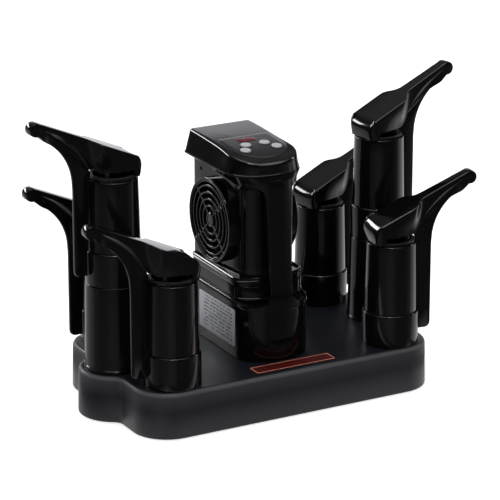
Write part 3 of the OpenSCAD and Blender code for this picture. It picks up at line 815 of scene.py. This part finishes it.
def hook_part():
    """One hook in its own frame: X outward from the tube's axis, Z up from the tube's rim."""
    rows = plan_rows()

    def corner(r, nx):
        """Height of the crease where the side turns into the flank."""
        if r < -13.6:
            return lerp(1.9, 1.3, nx)
        return table_at(UNDER, r) if r < 20 else table_at(CREASE, r)

    def lower(r, nx):
        return corner(r, nx) + 0.6 if r < 17 else table_at(LOWLINE, r)

    levels = [("edge", radians(15 * k)) for k in range(7)]
    levels += [("side", t) for t in (0.14, 0.3, 0.48, 0.66, 0.82, 0.94, 1.0)]
    levels += [("flank", t) for t in (0.06, 0.16, 0.3, 0.46, 0.62, 0.78, 0.9, 1.0)]
    rings = []
    for kind, u in levels:
        half = []
        for r, w, nx, ny in rows:
            e = lerp(table_at(EDGE, r), NOSE_EDGE, nx ** 2)
            tuck = 1.6 * nx      # the nose leans in towards the rim
            near_nose = min(1, nx * 3)
            low = table_at(LOW_HALF, r) if nx == 0 else w
            if kind == "edge":
                d = e * (1 - sin(u))
                x, y = r + nx * d, w - ny * d
                z = top_z(x) - e * (1 - cos(u))
            elif kind == "side":
                x = r + tuck * u ** 1.5
                y = lerp(w, low, u * u * (3 - 2 * u)) - ny * u ** 1.5 * near_nose
                z = lerp(top_z(r) - e, corner(r, nx), u)
            else:
                x = r + tuck + 9.0 * nx * u
                foot = table_at(FOOT_HALF, r) if nx == 0 else w * 0.3
                y = lerp(low - near_nose, foot, 1 - (1 - u) ** 2.0 if r > 20 else u)
                z = lerp(corner(r, nx), lower(r, nx), u ** 1.45)
            half.append((x, max(0.0, y), z))
        half[0] = (half[0][0], 0.0, half[0][2])
        rings.append([(x, -y, z) for x, y, z in half] + half[1:][::-1])
    # round end, flat on both sides
    knob = arc(KNOB_X, KNOB_Z, KNOB_R, KNOB_R, 0, 360, 48)[:-1]
    return Part().loft(rings[::-1]).prism(knob, -6.4, 6.4, ON_EDGE, edge=1.3)


def fin_outline():
    """Side view of the fin: up under the arm to the knob, back down a long arc, and down the boot side."""
    pts = [(25.6, -1.0), (24.5, 6.6)]
    for i in range(1, 13):
        t = i / 13
        s = 1 - t
        pts.append((s * s * 24 + 2 * t * s * 46 + t * t * 78.5, s * s * 8.6 + 2 * t * s * 38.5 + t * t * 53))
    pts += [(79.0, 52.0)]
    pts += arc(98.9, -3.6, 55.1, 55.1, 116.5, 178, 26)
    pts += [(43.4, -8), (43.5, -89)]
    pts += arc(37.5, -91, 6, 6, 0, -90, 7)
    pts += [(29.4, -97), (29.4, -71.8), (27.9, -71.4)]
    return pts


def clips_part(place):
    """Ring in the air slot, the louvre over it that turns the air outwards, and the clips that hold both."""
    p = Part()
    ring = fillet([(20.0, -0.5), (22.2, -0.5), (22.2, 1.6), (23.2, 2.0), (23.2, 3.6), (20.0, 3.6)], 0.3, 2)
    p.lathe(ring, 72, place)
    louvre = [(0, 1.0), (6.0, 1.2), (10.0, 2.8), (13.0, 5.4), (15.0, 8.2), (15.5, 9.2), (0, 9.2)]
    p.lathe(louvre, 64, place, solid=True)
    for i in range(4):
        m = place @ spin("Z", 45 + 90 * i)
        p.box((20.1, -6.5, -9.0), (22.2, 6.5, 1.5), m, 0.4)
        p.box((21.0, -3.2, 0.2), (23.4, 3.2, 3.0), m, 0.5)
        p.box((11.0, -2.0, 1.0), (18.6, 2.0, 8.2), m, 0.5)
    return p


def hanger(t):
    turn, lift = HOOK_PLACE[t]
    c, rim = centre_mm("tube_" + t), box_mm("tube_" + t)[1].z
    place = at(c.x, c.y, rim + lift) @ spin("Z", turn)
    hook = hook_part()
    hook.v = [place @ v for v in hook.v]
    hook.make("hook_" + t, GLOSS, "tree_" + t, "hanger_" + t, angle=24)
    fin = Part().prism(fin_outline(), -2.0, 2.0, place @ ON_EDGE, edge=0.9)
    fin.make("fin_" + t, GLOSS, "tree_" + t, angle=30)
    clips_part(place).make("clips_" + t, INNER, "tree_" + t)


for tree in TREES:
    cuff(tree)
    tube(tree)
    hanger(tree)
for end in ("left", "right"):
    extension(end)


# ---------- tower ----------

def column(half_w, nose_y, nose_b, back_y, back_r, d=0.0, back_w=None, n=40, power=1.0):
    """Outline drawn in by d: half an ellipse in front, straight sides, and rounded corners at the back."""
    w = back_w or half_w
    r = back_r - d
    pts = []
    for x, y in arc(0, 0, 1, 1, 180, 360, n):
        pts.append(((half_w - d) * rounder(x, power), nose_y + (nose_b - d) * rounder(y, power)))
    sides = [(lerp(half_w, w, i / 6) - d, lerp(nose_y, back_y - back_r, i / 6)) for i in range(1, 6)]
    pts += sides
    pts += arc(w - back_r, back_y - back_r, r, r, 0, 90, 6)
    pts += arc(back_r - w, back_y - back_r, r, r, 90, 180, 6)
    pts += [(-x, y) for x, y in sides[::-1]]
    return pts


def pedestal():
    lo, hi = box_mm("pedestal")
    back, top = hi.y, hi.z
    rings = []

    def dip(y, z):
        """The rim dips at the front."""
        return 3.4 * clamp01((-44.0 - y) / 9.0) * clamp01((z - top + 10) / 4.0)
    # (drawn in by, height)
    rows = [(0.9, lo.z), (0.2, lo.z + 0.5), (0.0, lo.z + 1.4), (0.35, top - 9), (0.35, top - 5.2),
            (-0.25, top - 4.4), (-0.35, top - 3.2), (-0.1, top - 2.5), (0.6, top - 2.1), (0.1, top - 1.7),
            (0.1, top - 0.9), (0.8, top - 0.2), (2.4, top)]
    for d, z in rows:
        rings.append([(x, y, z - dip(y, z)) for x, y in column(hi.x, -45, -45 - lo.y, back, 4, d)])
    o = Part().loft(rings).make("lower_column", GLOSS, "base", "pedestal", angle=30)
    inlet_z = centre_mm("power_inlet").z
    opening = rectangle((-13.8, inlet_z - 10.2), (13.8, inlet_z + 10.2), 2.5)
    cut(o, Part().prism(opening, -back - 5, 14 - back, ON_EDGE))
    # thumb notch, a half-moon low on the front
    half_moon, leaning = arc(0, 0, 12.5, 6.5, 180, 360, 16), at(0, -70.9, 71) @ spin("X", 90 - 14.324)
    cut(o, Part().prism(half_moon, -3.0, 3.0, leaning))
    # screw in its hole on the rounded front left
    screw_at = Vector((-35.2, -55.9, 87))
    outward = spin("Z", -54.832) @ ON_EDGE
    hole_place = Matrix.Translation(screw_at) @ outward
    cut(o, Part().lathe([(0, -8), (3.2, -8), (3.2, 0.4), (0, 0.4)], 32, hole_place, solid=True))
    shade(o, 30)
    seat = Matrix.Translation(screw_at + Vector((3.0, 2.1, 0))) @ outward
    head = [(0, 0.0), (2.8, 0.0), (2.9, 0.5), (2.2, 1.3), (0.9, 1.5), (0.7, 1.1), (0, 1.1)]
    Part().lathe(head, 32, seat, solid=True).make("column_screw_head", STEEL, "base")


def band():
    lo, hi = box_mm("module_base")
    foot, top = lo.z, hi.z
    low_nose, high_nose = 21, 16      # how far the nose stands out, below and above the step
    lower = [(2.4, foot - 6.0), (1.5, foot - 5.5), (1.5, foot - 0.3), (0.7, foot + 0.1), (0.0, foot + 0.9),
             (0.15, foot + 2.4), (0.75, foot + 2.9), (0.75, foot + 12.2)]
    step = [(0.9, foot + 13.2, 20.6), (1.0, foot + 13.6, 16.6)]
    upper = [(0.75, foot + 14.2), (0.75, top - 5.0), (0.1, top - 4.5), (0.0, top - 3.6), (0.5, top - 3.1),
             (0.5, top - 2.6), (0.0, top - 2.1), (0.05, top - 0.8), (0.6, top - 0.1), (1.4, top),
             (2.1, top - 0.2), (2.4, top - 1.0), (2.5, top - 2.2), (6, top - 2.3)]
    rows = [(d, z, low_nose) for d, z in lower] + step + [(d, z, high_nose) for d, z in upper]
    rings = [ring3(column(hi.x, -36, nose, hi.y, 4, d, 37.0), z) for d, z, nose in rows]
    Part().loft(rings).make("band", GLOSS, "base", "module_base", angle=34)


FAN, (BEZEL_LO, BEZEL_HI) = centre_mm("fan_bezel_left"), box_mm("fan_bezel_left")
FAN_R, FACE = (BEZEL_HI.z - BEZEL_LO.z) / 2, 0.8 - BEZEL_LO.x


def housing():
    lo, hi = box_mm("module_housing")
    z0, z1 = lo.z + 0.2, hi.z

    def out(d):
        return column(29.5, -33.5, 15, hi.y, 3, d, hi.x)
    outer = [ring3(out(0.0), lerp(z0, z1, i / 8)) for i in range(9)]
    inner = [ring3(out(2.5), lerp(z1, z0, i / 2)) for i in range(3)]
    wall = Part().loft(outer + inner + [outer[0]], caps=False)
    o = wall.make("module_wall", GLOSS, "base", "module_housing", angle=30)
    bore = [(0, -60), (39, -60), (39, 60), (0, 60)]
    cut(o, Part().lathe(bore, 96, along_x(0, FAN.y, FAN.z, 1), solid=True))
    holes, plugs = Part(), Part()
    for s in (-1, 1):
        m = along_x(0, 40, hi.z - 9.5, s)
        holes.lathe([(0, 31), (1.9, 31), (1.9, 36), (0, 36)], 24, m, solid=True)
        plugs.lathe([(0, 30.0), (3.2, 30.0), (3.2, 31.3), (0, 31.3)], 24, m, solid=True)
    cut(o, holes)
    shade(o, 30)
    plugs.make("wall_plugs", INNER, "base")


SKIRT_R, NECK_R = 14.0, 11.0      # fillets at the foot and the top of the front strap


def strap_half(z, foot, neck):
    """Half width of the front shell at height z: a skirt, a fillet, the strap, and a flare into the neck."""
    narrow, wide = 11.2, 13.4
    strap_low, strap_high = foot + SKIRT_R, neck - NECK_R
    if z < foot:
        return 37.0
    if z < strap_low:
        return narrow + SKIRT_R - sqrt(max(0, SKIRT_R ** 2 - (strap_low - z) ** 2))
    if z < strap_high:
        return lerp(narrow, wide, (z - strap_low) / (strap_high - strap_low))
    if z < neck:
        return wide + NECK_R - sqrt(max(0, NECK_R ** 2 - (z - strap_high) ** 2))
    return 31.5


def front_shell():
    lo, hi = box_mm("front_strap")
    foot, neck, below = lo.z - 3.0, hi.z - 6.5, lo.z - 8

    def front_y(x, z):
        half = table_at([(below, 38.6), (lo.z, 38.4), (140, 36.5), (neck, 32.0), (hi.z, 33.5)], z)
        nose = table_at([(below, -70.7), (lo.z, -70.4), (122.7, -68.2), (hi.z - 8, -62.0), (hi.z, -61.0)], z)
        side = table_at([(below, -45.0), (lo.z, -45.0), (neck, -33.5), (hi.z, -30.0)], z)
        return side + (nose - side) * sqrt(max(0.0, 1 - min(1, abs(x) / half) ** 2))

    zs = [foot - 5.5, foot - 2.5, foot - 0.05]
    zs += [foot + SKIRT_R * (1 - cos(radians(a))) + 0.001 for a in (0, 12, 24, 36, 48, 60, 75, 90)]
    zs += [lerp(foot + SKIRT_R, neck - NECK_R, i / 9) for i in range(1, 10)]
    zs += [neck - NECK_R + NECK_R * sin(radians(a)) for a in (15, 30, 45, 60, 72, 82, 88)]
    zs += [neck + 0.05, neck + 2, hi.z - 1.5, hi.z]
    n, thick = 24, 4.2
    rings = []
    for z in zs:
        half = strap_half(z, foot, neck)
        xs = [half * (2 * i / n - 1) for i in range(n + 1)]
        loop = [(x, front_y(x, z), z) for x in xs]
        for x in reversed(xs):
            narrower = 0.25 * min(1, abs(x) / 37) if half > 14 else 0
            loop.append((x * (1 - narrower), front_y(x, z) + thick, z))
        rings.append(loop)
    Part().loft(rings).make("front_shell", GLOSS, "base", "front_strap", angle=30, bevel=0.9)


def neck():
    """Collar that flares from the module's nose out to the head."""
    top = box_mm("module_housing")[1].z
    rows = [(top - 12, 29.6, 15.1, 10), (top - 9.5, 29.8, 23.0, 10), (top - 8, 30.2, 27.0, 12),
            (top - 4, 31.8, 27.5, 20), (top, 34.2, 26.5, 30), (top + 3.2, 36.6, 24.5, 40)]
    rings = [ring3(column(half, -33.5, nose, back, 3), z) for z, half, nose, back in rows]
    Part().loft(rings).make("neck", GLOSS, "base", angle=30)


pedestal()
band()
housing()
front_shell()
neck()


# ---------- fans ----------

def fan_ring(side, m):
    inner = FAN_R - 2.6
    profile = fillet([(inner, 26.5), (FAN_R, 26.5), (FAN_R, FACE), (inner, FACE)], [0.2, 0.2, 1.1, 0.7], 5)
    Part().lathe(profile, 128, m).make("fan_ring_" + side, GLOSS, "base", "fan_bezel_" + side)


def guard(side, m):
    """Wire rings, a hub cap and four spokes."""
    p = Part()
    z = FACE - 1.9

    def wire_ring(r, w, h):
        profile = []
        for i in range(14):
            a = 2 * pi * i / 14
            profile.append((r + w * rounder(cos(a), 0.8), z + h * rounder(sin(a), 0.8)))
        p.lathe(profile, 112, m)
    wire_ring(39.9, 1.0, 1.3)
    for r in (35.1, 28.2, 21.3, 14.4):
        wire_ring(r, 1.15, 1.15)
    p.lathe([(0, z - 1.4), (6.6, z - 1.4), (7.4, z - 0.8), (7.4, z + 0.5), (6.7, z + 1.1), (5.6, z + 1.2),
             (5.2, z + 0.7), (0, z + 0.8)], 64, m, solid=True)
    wire = arc(0, z + 0.15, 0.9, 0.9, 0, 360, 10)[:-1]
    for a in (45, 135, 225, 315):
        spoke = [[(x, y, height) for y, height in wire] for x in (6.5, 39.6)]
        p.loft(spoke, m @ spin("Z", a))
    p.make("guard_" + side, GLOSS, "base", "fan_guard_" + side)


def depths(node):
    """Least and greatest distance of a node from the middle plane."""
    lo, hi = box_mm(node)
    return sorted((abs(lo.x), abs(hi.x)))


def inner_ring(side, m):
    """The fan's own frame: a ring, a motor mount and three arms."""
    p = Part()
    z0, z1 = depths("fan_frame_" + side)
    p.lathe(fillet([(37.6, z0), (39.4, z0), (39.4, z1), (38.3, z1), (37.6, z1 - 1.6)], 0.3, 2), 96, m)
    p.lathe(fillet([(3.4, z0), (13, z0), (13, z0 + 2.5), (3.4, z0 + 2.5)], 0.3, 2), 48, m)
    for a in (30, 150, 270):
        p.box((12.5, -2, z0 + 0.1), (38, 2, z0 + 2.4), m @ spin("Z", a), 0.4)
    p.make("fan_ring_inner_" + side, INNER, "base", "fan_frame_" + side)


def blade(z, hand):
    """Cambered blade that sweeps back and flattens towards its tip."""
    root, tip, thick = 16.0, 36.2, 0.5
    rows = []
    for k in range(9):
        r = lerp(root, tip, k / 8)
        pitch = radians(lerp(46, 30, k / 8)) * hand
        chord = lerp(8.0, 10.0, k / 8)
        sweep = 0.02 * (r - root) ** 1.6
        top, low = [], []
        for j in range(7):
            u = lerp(-chord, chord, j / 6)
            y = u * cos(pitch) + sweep
            middle = u * sin(pitch) + 1.1 * (1 - (u / chord) ** 2) + z
            top.append((r, y, middle + thick))
            low.append((r, y, middle - thick))
        rows.append(top + low[::-1])
    return rows


def rotor(side, m, hand):
    node = "impeller_" + side
    z = depths(node)[1]
    p = Part()
    hub = [(0, z - 17.4), (1.5, z - 17.4), (1.5, z - 1.2), (14.2, z - 1.4), (14.2, z - 17), (16.5, z - 17),
           (16.5, z - 1.2), (15.6, z - 0.2), (0, z)]
    p.lathe(hub, 64, m, solid=True)
    for b in range(7):
        p.loft(blade(z - 8.5, hand), m @ spin("Z", 360 * b / 7))
    p.make("rotor_" + side, INNER, node, node)


for fan_side, hand in (("left", -1), ("right", 1)):
    outward = along_x(0, FAN.y, FAN.z, hand)
    fan_ring(fan_side, outward)
    guard(fan_side, outward)
    inner_ring(fan_side, outward)
    rotor(fan_side, outward, hand)


# ---------- head ----------

HEAD_LO, HEAD_HI = box_mm("head_cover")
# (y, height against the head's top)
ROOF = [(-60, -16.5), (-56, -12.6), (-50, -9.4), (-40, -6.6), (-28, -4.7), (-14, -3.3), (0, -2.3), (20, -1.1),
        (40, -0.3), (62, 0.0)]


def roof(y):
    """Height of the head's top face at y: it falls gently from the back and rolls over at the front."""
    return HEAD_HI.z + table_at(ROOF, y)


def on_roof(points, above):
    return [(x, y, roof(y) + above) for x, y in points]


def crown(outline, shares, middle_y, above, rise):
    """Rings that close an outline over the roof: shrunk to each share about its middle, rising a little."""
    rings = []
    for k in shares:
        rings.append(on_roof([(x * k, lerp(middle_y, y, k)) for x, y in outline], above + rise * (1 - k)))
    return rings


def head_shell():
    z0 = HEAD_LO.z
    half, top_half, shift = HEAD_HI.x + 2.6, 34.4, -1.4
    lean = 1 - top_half / half

    def out(d, share):
        """Outline drawn in by d at a share of the wall's height: the walls lean in as they rise."""
        nose = -20.5 - HEAD_LO.y - 0.2 * share
        loop = column(half, -20.5, nose, HEAD_HI.y + 3.4, 5.0, d, n=48, power=0.9)
        return [(x * (1 - lean * share * table_at([(-40, 0.5), (0, 1.0)], y)) + shift, y) for x, y in loop]
    rings = []
    for d, share, z in ((3.0, 0.0, z0), (0.7, 0.0, z0), (0.0, 0.0, z0 + 0.7), (0.0, 0.02, z0 + 1.9),
                        (0.55, 0.06, z0 + 2.3), (0.55, 0.10, z0 + 2.9)):
        rings.append(ring3(out(d, share), z))
    for t in (0.3, 0.5, 0.7, 0.88):
        rings.append([(x, y, lerp(z0, roof(y), t)) for x, y in out(0.35, t)])
    for d, share, above in ((0.35, 0.94, -1.5), (0.75, 1.0, -0.6), (1.5, 1.0, -0.12), (2.4, 1.0, 0.0)):
        rings.append(on_roof(out(d, share), above))
    rings += crown(out(2.4, 1.0), (0.93, 0.84, 0.72, 0.58, 0.42, 0.26, 0.1), 4.0, 0.0, 0.25)
    Part().loft(rings).make("head_shell", GLOSS, "base", "head_cover", angle=34)


def head_floor():
    low = box_mm("head_tray")[0].z
    rows = [(1.2, low), (0.2, low + 0.3), (0.0, low + 1.0), (0.0, HEAD_LO.z + 0.4)]
    rings = [ring3(column(36.2, -20.5, 34.3, HEAD_HI.y - 2.4, 5, d), z) for d, z in rows]
    Part().loft(rings).make("head_floor", GLOSS, "base", "head_tray")


def control_film():
    """Thin film round the controls."""
    lo, hi = box_mm("control_overlay")

    def film(d):
        return column(hi.x, -18, -18 - lo.y, hi.y, 4, d)
    rings = [on_roof(film(0), -0.4), on_roof(film(0), 0.35), on_roof(film(0.5), 0.6)]
    rings += crown(film(0.5), (0.85, 0.7, 0.55, 0.4, 0.25, 0.1), -10.0, 0.6, 0.1)
    Part().loft(rings).make("control_film", OVERLAY, "base", "control_overlay", angle=40)


def display_window():
    lo, hi = box_mm("display_window")
    pane = rectangle((lo.x - 3.0, lo.y - 0.4), (hi.x - 2.2, hi.y + 0.4), 1.2)

    def rings(rows):
        """Rings over the roof from (drawn in by, height above the roof) rows."""
        return [on_roof(inset(pane, d), above) for d, above in rows]
    glass = rings([(0, -1.4), (0, 0.75), (0.12, 0.9), (0.4, 0.98), (1.4, 1.0)])
    Part().loft(glass).make("window_pane", WINDOW, "base", "display_window")
    rim = rings([(-0.8, -0.2), (-0.8, 0.75), (-0.4, 0.85), (0.1, 0.8), (0.1, -0.2), (-0.8, -0.2)])
    Part().loft(rim, caps=False).make("window_frame", GLOSS, "base", slot="overlay_black")


def button(name, y, tilt):
    node = "button_" + name
    m = at(centre_mm(node).x, y, roof(y) + 0.2) @ spin("X", tilt)
    key = [(0, -4.3), (2, -4.3), (2, -4.1), (6.2, -4.0), (6.2, -3.1), (5.3, -3.0), (5.3, 0.75), (5.15, 1.15),
           (4.8, 1.45), (4.2, 1.6), (3.0, 1.55), (0, 1.35)]
    Part().lathe(key, 56, m, solid=True).make("key_" + name, BUTTON, node, node)
    ring = [(5.6, -1.0), (6.5, -1.0), (6.4, 0.72), (6.1, 0.82), (5.7, 0.7)]
    Part().lathe(ring, 56, m).make("key_ring_" + name, OVERLAY, "base")


head_shell()
head_floor()
control_film()
display_window()
for key_name in ("power", "timer"):
    button(key_name, -12.5, 5)
for key_name in ("heat", "mode"):
    button(key_name, -25.0, 8)


# ---------- label and inlet ----------

def label():
    lo, hi = box_mm("rating_label")
    m = Matrix(((0, 0, 1, 0), (1, 0, 0, 0), (0, 1, 0, 0), (0, 0, 0, 1)))      # outline in Y and Z
    plate = Part().prism(rectangle((lo.y, lo.z), (hi.y, hi.z), 1.2), lo.x, hi.x + 0.2, m, edge=0.1)
    plate.make("rating_plate", LABEL, "base", "rating_label")


def inlet():
    back = box_mm("pedestal")[1].y
    middle = centre_mm("power_inlet").z
    rings = []
    # (half width, half height, radius, depth)
    for w, h, r, depth in ((13.5, 9.9, 2.2, 15.0), (13.5, 9.9, 2.2, 1.5), (15.4, 11.8, 3.0, 0.2),
                           (15.4, 11.8, 3.0, -0.7), (14.9, 11.3, 2.7, -1.2), (12.2, 8.6, 2.0, -1.2),
                           (11.7, 8.1, 1.8, -0.6), (11.6, 8.0, 1.8, 13.0)):
        rings.append(ring3(rectangle((-w, middle - h), (w, middle + h), r), depth - back))
    p = Part().loft(rings, ON_EDGE)
    for s in (-1, 1):
        pin = at(s * 4.3, back - 13.2, middle) @ spin("X", -90)
        p.lathe([(0, 0), (1.2, 0), (1.2, 9.4), (0.8, 10.2), (0, 10.4)], 20, pin, solid=True)
    p.make("inlet", INNER, "base", "power_inlet")


label()
inlet()


# ---------- materials of the CAD nodes that stay ----------

KEPT = {"base_floor": INNER, "base_screws": STEEL, "pedestal_screws": STEEL, "heater_frame": CERAMIC,
        "heater_block": HEATER, "thermal_cutout": CERAMIC, "power_board": BOARD, "fan_motor_left": COPPER,
        "fan_motor_right": COPPER, "display_module": INNER, "control_board": BOARD}
for node_name, kept_material in KEPT.items():
    o = frame["nodes"][node_name]
    if o.material_slots:
        for slot in o.material_slots:
            slot.material = kept_material
    else:
        o.data.materials.append(kept_material)
